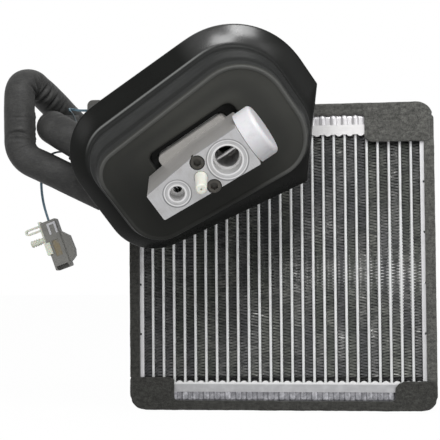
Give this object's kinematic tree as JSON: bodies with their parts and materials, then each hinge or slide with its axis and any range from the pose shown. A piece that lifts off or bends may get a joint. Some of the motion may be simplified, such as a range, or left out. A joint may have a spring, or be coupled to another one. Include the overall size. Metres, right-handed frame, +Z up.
{
  "type": "evaporator core",
  "caption": "Upright tube-and-fin evaporator core with foam edging, foam-covered pipes, an expansion valve in a rubber bulkhead boot and a sensor lead.",
  "frame": {"origin": "middle of the underside of the bottom foam, which sits in the heater box", "axes": "+Z up along the flat tubes, +X across them to the right, -Y out of the finned front towards the valve"},
  "size_m": [0.3274, 0.1993, 0.284],
  "materials": {
    "flat_tube": "drawn, slightly dull",
    "fins": "rolled sheet",
    "header": "brazed, satin",
    "tank": "brazed, satin",
    "side_plate": "brazed, satin",
    "port_block": "milled",
    "pipe": "drawn",
    "edge_foam": "closed-cell foam",
    "pipe_foam": "closed-cell foam",
    "boot_rubber": "moulded, satin",
    "seal_rubber": "smooth",
    "valve_block": "milled",
    "dark_steel": "blackened",
    "valve_steel": "turned",
    "white_plastic": "moulded",
    "cap_plastic": "moulded",
    "grey_plastic": "moulded",
    "lead_cover": "extruded",
    "connector_plastic": "moulded",
    "lock_plastic": "moulded",
    "clip_plastic": "translucent"
  },
  "bodies": {
    "root": {"adjusting_screw": "valve_steel", "bottom_end_cap_left": "tank", "bottom_end_cap_right": "tank", "bottom_header_plate": "header", "bottom_tank_cover": "tank", "connector_housing": "connector_plastic", "dash_boot": "boot_rubber", "fin_columns": "fins", "flat_tube_01": "flat_tube", "flat_tube_02": "flat_tube", "flat_tube_03": "flat_tube", "flat_tube_04": "flat_tube", "flat_tube_05": "flat_tube", "flat_tube_06": "flat_tube", "flat_tube_07": "flat_tube", "flat_tube_08": "flat_tube", "flat_tube_09": "flat_tube", "flat_tube_10": "flat_tube", "flat_tube_11": "flat_tube", "flat_tube_12": "flat_tube", "flat_tube_13": "flat_tube", "flat_tube_14": "flat_tube", "flat_tube_15": "flat_tube", "flat_tube_16": "flat_tube", "flat_tube_17": "flat_tube", "flat_tube_18": "flat_tube", "flat_tube_19": "flat_tube", "flat_tube_20": "flat_tube", "flat_tube_21": "flat_tube", "flat_tube_22": "flat_tube", "flat_tube_23": "flat_tube", "flat_tube_24": "flat_tube", "flat_tube_25": "flat_tube", "foam_bottom": "edge_foam", "foam_left": "edge_foam", "foam_right": "edge_foam", "foam_top": "edge_foam", "holder_clip": "clip_plastic", "liquid_pipe": "pipe", "liquid_sleeve": "pipe_foam", "pipe_flange": "port_block", "port_block": "port_block", "port_seals": "seal_rubber", "power_head": "valve_steel", "power_head_cap": "cap_plastic", "push_rod": "valve_steel", "sensor_holder": "grey_plastic", "sensor_lead": "lead_cover", "side_plate_left": "side_plate", "side_plate_right": "side_plate", "suction_pipe": "pipe", "suction_sleeve": "pipe_foam", "terminal_lock": "lock_plastic", "thread_plug": "white_plastic", "top_end_cap": "tank", "top_header_plate": "header", "top_tank_cover": "tank", "valve_body": "valve_block", "valve_screws": "dark_steel", "valve_spring": "valve_steel"}
  },
  "joints": []
}
